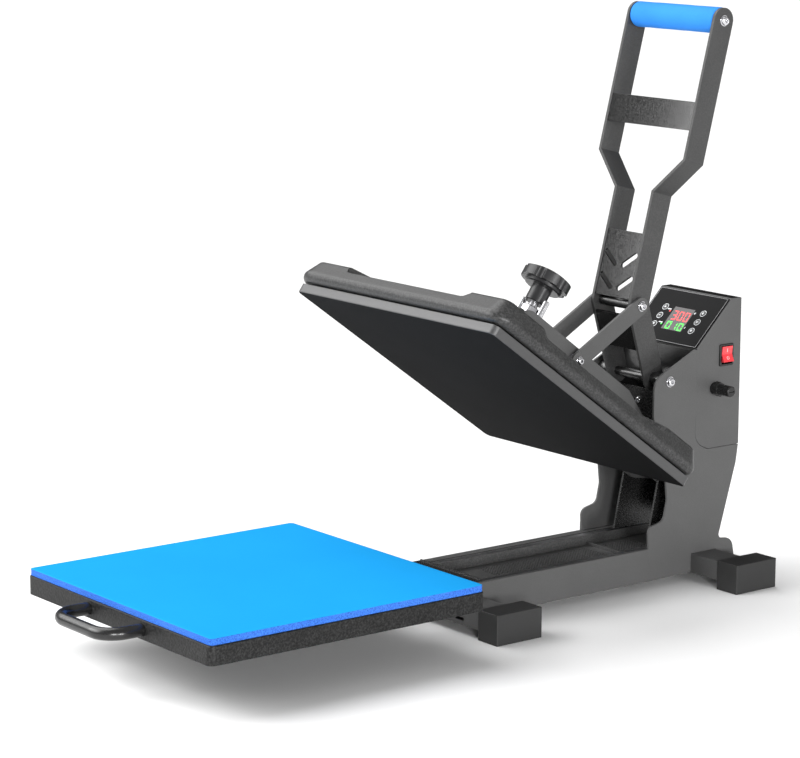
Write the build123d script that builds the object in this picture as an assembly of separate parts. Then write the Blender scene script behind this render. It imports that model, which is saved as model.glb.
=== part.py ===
from build123d import *
import math
import os

os.makedirs("parts", exist_ok=True)

# Auto-open clamshell heat press with a slide-out lower platen, millimetres.
# Frame: +Z up, +X to the operator's right, -Y to the front, where the drawer comes out.
# The origin is the middle of the footprint box, on the surface that the feet stand on.
# Modelled with the drawer pulled out and the upper platen open.

# ---- driving dimensions -------------------------------------------------------------
PLATE = 380.0                 # side of the square platens
OPEN_ANGLE = 35.73            # tilt of the open upper platen, degrees
PAD_TOP = 92.7                # height of the rubber pad's top
DRAWER_TRAVEL = 322.0
PAD_FRONT = -425.3            # front edge of the pad, drawer out

FOOT_HALF = 150.2             # half the width over the foot caps
FOOT_W, FOOT_D, FOOT_H = 36.4, 69.5, 37.5
FRONT_BAR_Y = 9.2             # front face of the front crossbar
REAR_BAR_Y = 400.7            # front face of the rear crossbar
BAR_D, BAR_Z0, BAR_Z1 = 43.2, 11.0, 36.6
BAR_WALL = 2.5

RAIL_OUT = 62.3               # outer face of a base rail
RAIL_T = 3.0
RAIL_Z0, RAIL_Z1 = 11.0, 53.0
RAIL_Y0, RAIL_Y1 = 9.2, 445.0
FLANGE = 14.0

STAND_IN, STAND_OUT = 62.35, 65.35
TRAY_Z = 38.4                 # top of the perforated floor tray
TRAY_HALF = 46.0              # outer face of the tray's side walls
TRAY_T = 1.7

# pivots in the side view, (y, z)
S_PIV = (357.0, 265.6)        # handle on the stand
A_PIV = (328.8, 361.3)        # handle to link
F_PIV = (226.7, 303.07)       # link to arm
R_PIV = (383.55, 137.34)      # arm on the stand
T_PIV = (417.5, 133.3)        # gas spring to arm tail
U_PIV = (432.0, 262.0)        # gas spring to stand
PLATE_REAR = (270.9, 164.0)   # rear bottom edge of the open heating plate

# lateral stack, outward from the middle
ARM_IN, ARM_OUT = 26.0, 30.0
BRK_IN, BRK_OUT = 31.0, 34.0
BAR_IN, BAR_OUT = 32.2, 36.2  # lower part of the handle bars
TOP_IN, TOP_OUT = 76.25, 80.25
LINK_IN, LINK_OUT = 37.0, 41.0

BAR_R = 16.0                  # half the width of a handle bar
GRIP_R = 16.5
PIN_R = 4.0
SHAFT_R = 6.0
FIT = 0.05                    # radial clearance of a running fit
GAP = 0.3                     # free gap between parts of different bodies
KNOB_Y = -191.0               # knob axis in the platen frame
STUD_X = 21.0

PANEL_TOP = (461.7, 361.9)
PANEL_LOW = (400.5, 301.0)
BOX_REAR = 479.4
BOX_LOW = 171.0
DISPLAY_X = 2.4               # middle of the display and of the button columns

COLUMN_X = 35.0
BUTTON_S = (31.5, 45.8, 60.1)
BUTTON_R = 3.7

# ---- frames ---------------------------------------------------------------------------
PLATEN = Pos(0, PLATE_REAR[0], PLATE_REAR[1]) * Rot(-OPEN_ANGLE, 0, 0)
LEAN = 14.54                  # handle leans back from vertical, degrees
HANDLE = Pos(0, A_PIV[0], A_PIV[1]) * Rot(-LEAN, 0, 0)
panel_slope = math.degrees(math.atan2(PANEL_TOP[1] - PANEL_LOW[1], PANEL_TOP[0] - PANEL_LOW[0]))
PANEL = Pos(0, PANEL_TOP[0], PANEL_TOP[1]) * Rot(panel_slope, 0, 0)
PANEL_LEN = math.dist(PANEL_TOP, PANEL_LOW)


def to_platen(point):
    """Side-view point of the open press, given in the platen's own frame."""
    dy, dz = point[0] - PLATE_REAR[0], point[1] - PLATE_REAR[1]
    c, s = math.cos(math.radians(OPEN_ANGLE)), math.sin(math.radians(OPEN_ANGLE))
    return (dy * c - dz * s, dy * s + dz * c)


R_LOC = to_platen(R_PIV)
T_LOC = to_platen(T_PIV)
GRIP_Z = 366.4                # grip axis above the link pivot, along the handle


# ---- helpers --------------------------------------------------------------------------
def block(x0, x1, y0, y1, z0, z1):
    return Pos((x0 + x1) / 2, (y0 + y1) / 2, (z0 + z1) / 2) * Box(x1 - x0, y1 - y0, z1 - z0)


def rod_x(y, z, r, x0, x1):
    return Pos((x0 + x1) / 2, y, z) * Rot(0, 90, 0) * Cylinder(r, x1 - x0)


def rod_y(x, z, r, y0, y1):
    return Pos(x, (y0 + y1) / 2, z) * Rot(90, 0, 0) * Cylinder(r, y1 - y0)


def rod_z(x, y, r, z0, z1):
    return Pos(x, y, (z0 + z1) / 2) * Cylinder(r, z1 - z0)


def side_face(points):
    """Closed outline in the side view, (y, z)."""
    return Plane.YZ * make_face(Polyline(*points, close=True))


def rounded(corners, radii):
    """Side-view outline with each corner rounded."""
    face = side_face(corners)
    for corner, radius in zip(corners, radii):
        near = face.vertices().sort_by_distance((0, corner[0], corner[1]))[0]
        face = fillet(near, radius)
    return face


def plate_x(outline, x0, x1):
    """Side-view outline made into a plate from x0 to x1."""
    return Pos(x0, 0, 0) * extrude(outline, x1 - x0)


def bar_outline(a, b, r):
    """Flat bar between two side-view points with round ends."""
    length = math.dist(a, b)
    angle = math.degrees(math.atan2(b[1] - a[1], b[0] - a[0]))
    middle = ((a[0] + b[0]) / 2, (a[1] + b[1]) / 2)
    return Plane.YZ * Pos(middle[0], middle[1]) * Rot(0, 0, angle) * SlotCenterToCenter(length, 2 * r)


def both(shape):
    """A shape and its mirror image across the middle plane."""
    return [shape, mirror(shape, about=Plane.YZ)]


def group(shapes):
    return Compound(children=list(shapes))


def save(name, shape):
    shape.label = name
    export_step(shape, "parts/" + name + ".step")


def screw(head_r, head_h, shank_r, shank_l, washer_r=0.0, washer_h=0.0):
    """Button-head screw along +X with a hexagon socket: head outside x = 0, washer under it, shank inside."""
    head = rod_x(0, 0, head_r, washer_h, washer_h + head_h)
    head = fillet(head.edges().filter_by(GeomType.CIRCLE).sort_by(Axis.X)[-1], head_h * 0.7)
    hexagon = RegularPolygon(head_r * 0.46, 6)
    socket = Pos(washer_h + head_h * 0.35, 0, 0) * Rot(0, 90, 0) * extrude(hexagon, head_h)
    body = head - socket + rod_x(0, 0, shank_r, -shank_l, washer_h + 0.1)
    if washer_h:
        body += rod_x(0, 0, washer_r, 0, washer_h)
    return body


# ---- base -----------------------------------------------------------------------------
def crossbar(y0):
    """Box tube across the base."""
    reach = FOOT_HALF - 8.0
    y1 = y0 + BAR_D
    bar = block(-reach, reach, y0, y1, BAR_Z0, BAR_Z1)
    bar = fillet(bar.edges().filter_by(Axis.X), 2.0)
    low, high = BAR_Z0 + BAR_WALL, BAR_Z1 - BAR_WALL
    return bar - block(-reach - 1, reach + 1, y0 + BAR_WALL, y1 - BAR_WALL, low, high)


def front_crossbar():
    """The front crossbar has two lightening slots in its front face."""
    bar = crossbar(FRONT_BAR_Y)
    for x in (-77, 77):
        bar -= block(x - 9, x + 9, FRONT_BAR_Y - 1, FRONT_BAR_Y + BAR_WALL + 1, 17.0, 21.0)
    return bar


def foot_cap(side, y0):
    """Plastic cap over one end of a crossbar, hanging below it."""
    inner = FOOT_HALF - FOOT_W
    front = y0 - 1.0
    reach = FOOT_HALF - 8.0
    cap = block(inner, FOOT_HALF, front, front + FOOT_D, 0, FOOT_H)
    cap = fillet(cap.edges().filter_by(Axis.Z), 1.2)
    cap = fillet(cap.edges().group_by(Axis.Z)[-1], 0.7)
    cap -= block(inner - 1, reach + 0.05, y0 - 0.05, y0 + BAR_D + 0.05, BAR_Z0 - 0.05, BAR_Z1 + 0.05)
    return cap if side > 0 else mirror(cap, about=Plane.YZ)


def rail():
    """L-section rail of the base, notched over the crossbars, its face flush with the stand plate."""
    bar = block(RAIL_OUT - RAIL_T, RAIL_OUT, RAIL_Y0, RAIL_Y1, RAIL_Z0, RAIL_Z1)
    bar += block(RAIL_OUT - FLANGE, RAIL_OUT, RAIL_Y0, RAIL_Y1, RAIL_Z0, RAIL_Z0 + 2)
    front = side_face([(RAIL_Y0, RAIL_Z0), (328.5, RAIL_Z0), (326.4, RAIL_Z1), (RAIL_Y0, RAIL_Z1)])
    bar += plate_x(front, RAIL_OUT, STAND_OUT)
    for y0 in (FRONT_BAR_Y, REAR_BAR_Y):
        bar -= block(0, STAND_OUT + 1, y0 - 0.05, y0 + BAR_D + 0.05, 0, BAR_Z1 + 0.05)
    return bar


TRAY_Y0, TRAY_Y1 = 54.0, 444.0
TRAY_WALL_Z = 50.8
HOLE, PITCH = 2.6, 4.4        # square holes of the perforated windows
WINDOW_HALF = 34.0


def floor_tray():
    """Channel between the rails, lying on the crossbars, with perforated windows in its floor."""
    floor_low = BAR_Z1 + 0.1
    tray = block(-TRAY_HALF, TRAY_HALF, TRAY_Y0, TRAY_Y1, floor_low, TRAY_Z)
    for wall in both(block(TRAY_HALF - TRAY_T, TRAY_HALF, TRAY_Y0, TRAY_Y1, floor_low, TRAY_WALL_Z)):
        tray += wall
    tray += block(-TRAY_HALF, TRAY_HALF, 318.0, 320.0, floor_low, TRAY_Z + 4.0)
    holes = []
    columns = int(WINDOW_HALF / PITCH)
    for y_start, y_end in ((128.0, 312.0), (336.0, 386.0)):
        for row in range(int((y_end - y_start) / PITCH)):
            for column in range(-columns, columns + 1):
                holes.append(Pos(column * PITCH, y_start + row * PITCH) * Rectangle(HOLE, HOLE))
    return tray - Pos(0, 0, floor_low - 1) * extrude(Sketch() + holes, 4)


SLIDE_Y0, SLIDE_Y1 = 50.0, 380.0    # slide members, drawer closed
SLIDE_MOUTH = 56.2                  # outer edge of the slide channels


def slide_channel(x0, y_shift, z0, z1, wall):
    """Slide member, a channel open to the rail, moved forward by y_shift."""
    y0, y1 = SLIDE_Y0 - y_shift, SLIDE_Y1 - y_shift
    member = block(x0, SLIDE_MOUTH, y0, y1, z0, z1)
    return member - block(x0 + wall, SLIDE_MOUTH + 1, y0 - 1, y1 + 1, z0 + wall, z1 - wall)


def slide_outer():
    """Outer slide member, fixed to the tray's side wall."""
    return slide_channel(TRAY_HALF + 0.05, 0, 38.7, 50.7, 1.2)


def slide_middle():
    return slide_channel(TRAY_HALF + 1.6, DRAWER_TRAVEL / 2, 40.3, 49.1, 1.2)


def slide_inner():
    """Inner slide member, carried by the drawer."""
    return block(49.2, 56.6, SLIDE_Y0 - DRAWER_TRAVEL, SLIDE_Y1 - DRAWER_TRAVEL, 41.9, 47.5)


# ---- stand ----------------------------------------------------------------------------
def stand_plate():
    """Side plate of the stand, from the rails up to the control panel."""
    corners = [(328.6, 11.0), (325.0, 80.5), (351.5, 86.5), (357.0, 112.0), (354.0, 140.0), (331.0, 222.0),
               (331.0, 270.0), (400.2, 302.0), (402.75, 301.0), (402.75, 222.0), (402.4, 180.8),
               (424.5, 170.4), (479.2, 170.4), (475.8, 147.0), (447.0, 50.0), (472.0, 47.0),
               (478.6, 14.0)]
    radii = [0.3, 10.0, 11.0, 20.0, 50.0, 30.0, 24.0, 0.4, 0.4, 1.0, 22.4, 14.0, 1.0, 8.0, 6.0, 14.0, 4.0]
    face = rounded(corners, radii)
    plate = plate_x(face, STAND_IN, STAND_OUT)
    plate -= block(60, 70, REAR_BAR_Y - 0.1, REAR_BAR_Y + BAR_D + 0.1, 0, BAR_Z1 + 0.1)
    plate -= rod_x(S_PIV[0], S_PIV[1], PIN_R + FIT, 50, 80)
    return plate


def stand_rear_web():
    """Sheet that closes the back of the stand below the control box."""
    outer = side_face([(451.0, 64.0), (473.2, 144.0), (475.6, 169.6), (473.4, 169.8), (471.0, 145.0),
                       (448.8, 64.6)])
    return plate_x(outer, -STAND_IN, STAND_IN)


def front_web():
    """Glossy curved sheet from the panel's lower edge down behind the handle legs."""
    path = Polyline((401.6, 300.2), (385.0, 268.0), (382.0, 196.0))
    path = fillet(path.vertices()[1], 60.0)
    outline = Plane.YZ * trace(path, 1.6)
    return plate_x(outline, -STAND_IN + 0.05, STAND_IN - 0.05)


def pivot_bracket():
    """Folded bracket inside the stand that carries the arm shaft and the electromagnet."""
    outline = side_face([(354.4, 57.0), (374.5, 150.0), (400.0, 196.0), (446.0, 196.0), (446.0, 100.0),
                         (436.0, 57.0)])
    sides = both(plate_x(outline, BRK_IN, BRK_OUT) - rod_x(R_PIV[0], R_PIV[1], SHAFT_R + FIT, 0, 60))
    bracket = sides[0] + sides[1]
    bracket += block(-BRK_OUT, BRK_OUT, 446.0, 449.0, 100.0, 196.0)
    bracket += block(-BRK_OUT, BRK_OUT, 404.0, 446.0, 193.0, 196.0)
    bracket -= block(SPRING_X - 9.0, SPRING_X + 8.7, 403.0, 437.0, 190.0, 200.0)
    for sign in (-1, 1):
        edge = sorted((sign * BRK_OUT, sign * STAND_IN))
        bracket += block(edge[0], edge[1], 446.0, 449.0, 104.0, 160.0)
    return bracket


def magnet_plate():
    """Cross plate below the handle shaft, held by one screw."""
    plate = block(-STAND_IN + 0.05, STAND_IN - 0.05, 363.8, 366.2, 206.0, 248.0)
    return plate - rod_y(0, 231.5, 2.0 + FIT, 355, 375)


def electromagnet():
    """Pot magnet hanging under the bracket's top, over the arm's armature."""
    pot = rod_z(8.0, 422.0, 15.0, 166.5, 192.9)
    pot = chamfer(pot.edges().group_by(Axis.Z)[0], 1.0)
    coil = rod_z(8.0, 422.0, 11.5, 166.0, 170.0) - rod_z(8.0, 422.0, 6.0, 166.0, 170.0)
    return pot - coil


# ---- control box ------------------------------------------------------------------------
def control_box():
    """Sheet shell of the control box: sides, back, top and sloping front frame."""
    outer = rounded([(402.8, 303.15), PANEL_TOP, (478.6, 361.9), (BOX_REAR, BOX_LOW), (424.9, BOX_LOW),
                     (402.8, 181.0), (402.8, 222.0)], [0.3, 1.0, 1.5, 1.0, 14.0, 22.0, 1.0])
    inner_points = [(380.0, 277.8), (462.6, 359.9), (476.6, 359.9), (477.4, 150.0), (380.0, 150.0)]
    shell = plate_x(outer, -STAND_OUT, STAND_OUT)
    shell -= plate_x(side_face(inner_points), -STAND_OUT + 2, STAND_OUT - 2)
    window = PANEL * block(DISPLAY_X - 43, DISPLAY_X + 43, -70, -22, -6, 6)
    shell -= window
    shell -= rod_x(434.7, 248.5, 6.1, 50, 80)
    shell -= block(55, 80, SWITCH[0] - 10.4, SWITCH[0] + 10.4, SWITCH[1] - 12.8, SWITCH[1] + 12.8)
    shell -= block(-14.0, 14.0, 470, 490, 196.0, 216.0)
    return shell


def on_panel(x, s, shape):
    """A shape placed on the sloping panel, s down from its top edge, +Z out of the panel."""
    return PANEL * Pos(x, -s, 0) * shape


def fascia():
    """Black front sheet of the control panel with its display opening and button holes."""
    sheet = on_panel(0, PANEL_LEN / 2, Pos(0, 0, 0.6) * Box(126.0, 82.0, 1.1))
    sheet -= on_panel(DISPLAY_X, 46.5, Box(37.4, 36.4, 5))
    for x in (DISPLAY_X - COLUMN_X, DISPLAY_X + COLUMN_X):
        for s in BUTTON_S:
            sheet -= on_panel(x, s, Cylinder(BUTTON_R + GAP, 8))
    for s in (36.6, 57.8):
        sheet -= on_panel(DISPLAY_X - 22.6, s, Cylinder(1.35, 8))
    return sheet


def button(x, s):
    """Push button through the fascia, with a collar behind it."""
    cap = Pos(0, 0, -0.6) * Cylinder(BUTTON_R, 4.8)
    cap = fillet(cap.edges().group_by(Axis.Z)[-1], 0.5)
    collar = Pos(0, 0, -3.4) * Cylinder(BUTTON_R + 1.2, 1.4)
    return on_panel(x, s, cap + collar)


def display_window():
    return on_panel(DISPLAY_X, 46.5, Pos(0, 0, 0.2) * Box(37.2, 36.2, 1.6))


def display_board():
    board = on_panel(DISPLAY_X, 46.5, Pos(0, 0, -9.2) * Box(84.0, 46.0, 1.6))
    block_of_digits = on_panel(DISPLAY_X, 46.5, Pos(0, 0, -4.6) * Box(34.0, 33.0, 7.6))
    return board + block_of_digits


def indicator(s):
    lamp = Pos(0, 0, -1.0) * Cylinder(1.3, 5.0)
    return on_panel(DISPLAY_X - 22.6, s, lamp)


SWITCH = (453.5, 290.0)


def switch_bezel():
    """Frame and body of the rocker switch, pushed through the box's right side."""
    y, z = SWITCH
    frame = block(65.4, 67.4, y - 12.0, y + 12.0, z - 14.2, z + 14.2)
    frame = fillet(frame.edges().filter_by(Axis.X), 2.0)
    frame = chamfer(frame.faces().sort_by(Axis.X)[-1].edges(), 0.6)
    body = block(45.0, 65.5, y - 10.2, y + 10.2, z - 12.6, z + 12.6)
    return frame + body - block(47.0, 80.0, y - 9.2, y + 9.2, z - 11.7, z + 11.7)


ROCKER_X = 61.0               # pivot of the switch rocker
ROCKER_TILT = 8.0


def rocker():
    """Red rocker with two sloping halves, the upper half pressed in, turning on a cross pin."""
    y, z = SWITCH
    points = [(-6.0, -6.0), (4.0, -10.0), (9.2, -10.0), (6.6, 0), (9.2, 10.0), (4.0, 10.0), (-6.0, 6.0)]
    face = Plane.XZ * make_face(Polyline(*points, close=True))
    cap = Pos(0, 8.8, 0) * extrude(face, 17.6) - rod_y(0, 0, 1.5, -20, 20)
    return Pos(ROCKER_X, y, z) * Rot(0, -ROCKER_TILT, 0) * cap


def fuse_holder():
    y, z = 434.7, 248.5
    body = rod_x(y, z, 6.0, 44.0, 66.0)
    flange = rod_x(y, z, 8.0, 65.4, 69.4)
    flange = fillet(flange.edges().group_by(Axis.X)[-1], 1.0)
    collar = Pos(73.2, y, z) * Rot(0, 90, 0) * extrude(RegularPolygon(9.6, 6), 7.6, both=False)
    collar = Pos(-3.8, 0, 0) * collar
    return body + flange + collar


def fuse_cap():
    y, z = 434.7, 248.5
    cap = rod_x(y, z, 6.9, 77.1, 97.0)
    cap = fillet(cap.edges().group_by(Axis.X)[-1], 1.2)
    for k in range(12):
        angle = math.radians(30 * k)
        cap -= rod_x(y + 7.4 * math.cos(angle), z + 7.4 * math.sin(angle), 0.9, 80.0, 95.0)
    return cap - block(95.6, 99.0, y - 4.6, y + 4.6, z - 0.8, z + 0.8)


def power_inlet():
    """Three-pin mains inlet on the back of the control box."""
    flange = block(-24.5, 24.5, BOX_REAR + 0.05, 482.0, 191.0, 221.0)
    flange = fillet(flange.edges().filter_by(Axis.Y), 4.0)
    body = block(-13.8, 13.8, 458.0, 481.0, 196.2, 215.8)
    inlet = flange + body
    inlet -= block(-11.8, 11.8, 463.0, 483.0, 198.4, 213.6)
    for x, z in ((-7.0, 204.6), (0.0, 208.6), (7.0, 204.6)):
        inlet += block(x - 1.0, x + 1.0, 462.0, 479.0, z - 2.0, z + 2.0)
    return inlet


# ---- shafts ------------------------------------------------------------------------------
def handle_shaft():
    shaft = rod_x(S_PIV[0], S_PIV[1], SHAFT_R, -STAND_IN + 0.05, STAND_IN - 0.05)
    for side in (-1, 1):
        span = sorted((side * 40.0, side * 63.0))
        shaft -= rod_x(S_PIV[0], S_PIV[1], PIN_R + FIT, span[0], span[1])
    return shaft


def shaft_spacer():
    tube = rod_x(S_PIV[0], S_PIV[1], 8.5, BAR_OUT + GAP, STAND_IN - 0.05)
    return tube - rod_x(S_PIV[0], S_PIV[1], SHAFT_R + FIT, 30, 70)


def arm_shaft():
    shaft = rod_x(R_PIV[0], R_PIV[1], SHAFT_R, -37.0, 37.0)
    for x0 in (-36.4, 34.2):
        shaft += rod_x(R_PIV[0], R_PIV[1], 9.0, x0, x0 + 2.2)
    return shaft


# ---- drawer -------------------------------------------------------------------------------
SKIRT_Z0, SKIRT_Z1 = 62.1, 84.6
SKIRT_OVER = 1.6
PAD_REAR = PAD_FRONT + PLATE


def square(x_half, y0, y1, z0, z1, radius):
    slab = block(-x_half, x_half, y0, y1, z0, z1)
    return fillet(slab.edges().filter_by(Axis.Z), radius)


def rubber_pad():
    pad = square(PLATE / 2, PAD_FRONT, PAD_REAR, SKIRT_Z1 + 0.05, PAD_TOP, 8.0)
    return fillet(pad.edges().group_by(Axis.Z)[-1], 1.2)


def lower_platen():
    """Steel platen with a folded skirt and two stiffening ribs underneath."""
    half = PLATE / 2 + SKIRT_OVER
    y0, y1 = PAD_FRONT - SKIRT_OVER, PAD_REAR + SKIRT_OVER
    tray = square(half, y0, y1, SKIRT_Z0, SKIRT_Z1, 8.0)
    tray = fillet(tray.edges().group_by(Axis.Z)[-1], 1.5)
    tray -= square(half - 2.5, y0 + 2.5, y1 - 2.5, SKIRT_Z0 - 1, SKIRT_Z1 - 6.0, 6.0)
    for y in (PAD_FRONT + 110, PAD_REAR - 110):
        tray += block(-half + 2, half - 2, y - 2, y + 2, SKIRT_Z0 + 1.0, SKIRT_Z1 - 5.5)
    return tray


def d_handle():
    """Round-section pull handle on the front of the drawer."""
    z = 73.4
    face = PAD_FRONT - SKIRT_OVER - 0.05
    reach = face - 47.4
    half = 56.0
    path = Polyline((-half, face, z), (-half, reach, z), (half, reach, z), (half, face, z))
    path = fillet(path.vertices()[1:3], 26.0)
    section = Plane(origin=(-half, face, z), z_dir=(0, -1, 0)) * Circle(7.5)
    return sweep(section, path)


def runner():
    """Folded bracket that carries the platen on an inner slide member."""
    y0, y1 = PAD_FRONT + 56, 58.0
    low, high = 56.7, 58.8
    bracket = block(low, high, y0, y1, 41.0, 53.0)
    bracket += block(low, high, y0, PAD_REAR - 6, 41.0, 78.5)
    bracket += block(38.0, high, y0, PAD_REAR - 6, 76.0, 78.5)
    for y in (PAD_FRONT + 110, PAD_REAR - 110):
        bracket -= block(20.0, 60.0, y - 2.5, y + 2.5, SKIRT_Z0 + 0.5, SKIRT_Z1)
    return bracket


def rear_tie():
    """Tie over the tray walls between the runners, with an upturned lip, behind the pad."""
    tie = block(-58.8, 58.8, 38.0, 58.0, 53.05, 54.6)
    return tie + block(-58.8, 58.8, 56.4, 58.0, 53.05, 56.4)


# ---- upper platen, in the platen frame ------------------------------------------------------
def heating_plate():
    plate = square(PLATE / 2, -PLATE, 0, 0, 11.6, 8.0)
    plate = chamfer(plate.edges().group_by(Axis.Z)[0], 0.8)
    groove = block(-163, 163, -353, -27, 7.6, 12) - block(-154, 154, -344, -36, 7, 13)
    return PLATEN * (plate - groove)


def heating_element():
    ring = block(-162.5, 162.5, -352.5, -27.5, 7.9, 11.4) - block(-154.5, 154.5, -344.5, -35.5, 7, 12)
    return PLATEN * ring


def insulation():
    return PLATEN * square(180.0, -371.0, -9.0, 11.9, 19.6, 8.0)


def back_plate():
    plate = square(130.0, -321.0, -61.0, 19.7, 22.7, 10.0)
    for x in (-STUD_X, STUD_X):
        plate -= rod_z(x, KNOB_Y, PIN_R + FIT, 15, 30)
    return PLATEN * plate


def temperature_probe():
    return PLATEN * (rod_z(60.0, -120.0, 4.0, 19.8 + 3.0, 30.0))


COVER_X, COVER_FRONT, COVER_REAR = 202.4, -394.4, 11.4   # before its lower edge is rounded
COVER_BASE, COVER_LOW, COVER_TOP = 13.6, 36.6, 46.8
ARM_RELIEF = -12.4            # front of the bevel that clears the arm plates at the rear edge
GLAND_Z = 24.0
COVER_CORNER = 30.0
COVER_DRAFT = 28.0            # slope of the cover's flanks from upright, degrees
# rounded step from the low bands up to the raised corners: height and how far out the step has run
STEP = [
    (COVER_LOW, 0.0),
    (COVER_LOW + 1.0, 4.5),
    (COVER_LOW + 5.1, 8.0),
    (COVER_TOP - 1.0, 11.5),
    (COVER_TOP, 16.5),
]


def cover_block():
    """Outer form of the cover: sloping flanks, full round along its lower edge, softer one along the top."""
    middle = (COVER_FRONT + COVER_REAR) / 2
    outline = Pos(0, middle, COVER_BASE) * RectangleRounded(2 * COVER_X, COVER_REAR - COVER_FRONT, COVER_CORNER)
    body = extrude(outline, COVER_TOP - COVER_BASE, taper=COVER_DRAFT)
    body = fillet(body.edges().group_by(Axis.Z)[-1], 6.0)
    return fillet(body.edges().group_by(Axis.Z)[0], 9.0)


def band(half_out, half_in, out, turn, far, middle, across):
    """Low band over the cover: wide at its edge of the cover, narrowing at 45 degrees, with rounded steps."""
    faces = []
    for z, run in STEP + [(80.0, 16.5)]:
        a, b, t = half_out + run, half_in + run, turn + 0.414 * run
        points = [(out, -a), (t, -a), (t - (half_out - half_in), -b), (far, -b), (far, b),
                  (t - (half_out - half_in), b), (t, a), (out, a)]
        if across:
            points = [(u, v + middle) for u, v in points]
        else:
            points = [(v, -u + middle) for u, v in points]
        faces.append(Pos(0, 0, z) * make_face(Polyline(*points, close=True)))
    return [loft([low, high], ruled=True) for low, high in zip(faces, faces[1:])]


def cover():
    """Moulded cover of the upper platen, with four raised corners and low bands between them."""
    body = cover_block()
    for piece in band(108.0, 62.0, 420.0, 374.0, -40.0, 0, False):
        body -= piece
    for piece in band(110.0, 66.0, 240.0, 176.0, -20.0, -190.0, True):
        body -= piece
        body -= mirror(piece, about=Plane.YZ)
    body -= square(185.3, -376.5, -6.2, 10.0, COVER_LOW - 3.0, 8.0)
    relief_points = [(6.6, 28.8), (ARM_RELIEF, 47.8), (10.0, 60.0), (10.0, 28.8)]
    relief = Plane.YZ * make_face(Polyline(*relief_points, close=True))
    body -= Pos(-36.0, 0, 0) * extrude(relief, 72.0)
    body -= rod_z(0, KNOB_Y, 20.0, 10, 60)
    for x in (-STUD_X, STUD_X):
        body -= rod_z(x, KNOB_Y, 5.5, 10, 60)
    body -= rod_y(60.0, GLAND_Z, 7.6, 1.5, 20)
    return PLATEN * (body - rod_y(60.0, GLAND_Z, 5.0, -14, 20))


def centre_boss():
    """Boss on the back plate that holds the end of the pressure spindle."""
    boss = rod_z(0, KNOB_Y, 15.0, 22.8, 58.0)
    boss = chamfer(boss.edges().group_by(Axis.Z)[-1], 1.5)
    return PLATEN * (boss - rod_z(0, KNOB_Y, SHAFT_R + FIT, 40, 60))


def guide_stud(x):
    stud = rod_z(x, KNOB_Y, PIN_R, 19.8, 126.0)
    return PLATEN * chamfer(stud.edges().group_by(Axis.Z)[-1], 0.8)


def cable_gland():
    gland = rod_y(60.0, GLAND_Z, 4.9, -8.0, 5.0)
    gland += rod_y(60.0, GLAND_Z, 7.5, 1.55, 6.4)
    return PLATEN * (gland - rod_y(60.0, GLAND_Z, 2.6, -12.0, 8.0))


# ---- arm, in the platen frame ---------------------------------------------------------------
ARM_TOP, ARM_LOW = 103.0, 53.0


def arm_plate():
    """Side plate of the arm, from the knob back to the shaft and its tail."""
    ry, rz = R_LOC
    corners = [(-232.0, 60.0), (-232.0, ARM_TOP - 18), (-214.0, ARM_TOP), (-12.0, ARM_TOP - 1.5),
               (ry - 12.0, rz + 19.0), (ry + 52.0, rz + 28.2), (ry + 52.0, rz + 8.0), (ry + 6.0, rz - 14.0),
               (ry - 10.0, rz - 14.0), (16.0, ARM_LOW - 5.0), (-222.0, ARM_LOW)]
    radii = [6.0, 10.0, 14.0, 12.0, 20.0, 4.0, 4.0, 10.0, 12.0, 30.0, 6.0]
    face = rounded(corners, radii)
    plate = plate_x(face, ARM_IN, ARM_OUT)
    plate -= rod_x(ry, rz, SHAFT_R + FIT, 20, 40)
    plate -= rod_x(T_LOC[0], T_LOC[1], PIN_R + FIT, 20, 40)
    return PLATEN * plate


def arm_bridge():
    """Cross plate between the arm plates that the spindle and the guide studs pass through."""
    bridge = block(-ARM_IN + 0.05, ARM_IN - 0.05, -228.0, -156.0, 88.0, 98.0)
    bridge -= rod_z(0, KNOB_Y, 9.0, 80, 110)
    for x in (-STUD_X, STUD_X):
        bridge -= rod_z(x, KNOB_Y, PIN_R + 2 * FIT, 80, 110)
    bridge += block(-ARM_IN + 0.05, ARM_IN - 0.05, -60.0, -56.0, 60.0, 98.0)
    return PLATEN * bridge


def spindle_nut():
    """Threaded nut in the bridge with a locking nut on top."""
    nut = rod_z(0, KNOB_Y, 8.95, 86.0, 104.0)
    nut += Pos(0, KNOB_Y, 98.1) * extrude(RegularPolygon(12.5, 6), 8.0)
    lock = Pos(0, KNOB_Y, 107.0) * extrude(RegularPolygon(11.5, 6), 8.0)
    lock = chamfer(lock.edges().group_by(Axis.Z)[-1], 1.0)
    return PLATEN * (nut + lock + rod_z(0, KNOB_Y, 9.0, 103, 108) - rod_z(0, KNOB_Y, SHAFT_R + FIT, 80, 120))


def pivot_nut():
    """Nut on the inner face of an arm plate, at the link pivot."""
    nut = Pos(ARM_IN - 6.5, 0, 0) * Rot(0, 90, 0) * extrude(RegularPolygon(8.0, 6), 6.45)
    nut = nut - rod_x(0, 0, PIN_R, 18.0, ARM_IN) + rod_x(0, 0, PIN_R, ARM_IN - 8.5, ARM_IN - 0.05)
    return Pos(0, F_PIV[0], F_PIV[1]) * nut


def armature():
    """Steel plate across the arm's tail that the electromagnet holds."""
    y0 = R_LOC[0] + 20.0
    plate = block(-ARM_IN + 0.05, ARM_IN - 0.05, y0, y0 + 31.5, R_LOC[1] + 24.2, R_LOC[1] + 28.2)
    plate -= block(SPRING_X - 8.0, SPRING_X + 8.0, y0 - 1, y0 + 24.0, R_LOC[1] + 20.0, R_LOC[1] + 30.0)
    return PLATEN * plate


def tail_pin():
    return rod_x(T_PIV[0], T_PIV[1], PIN_R, -ARM_OUT, ARM_OUT)


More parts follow.
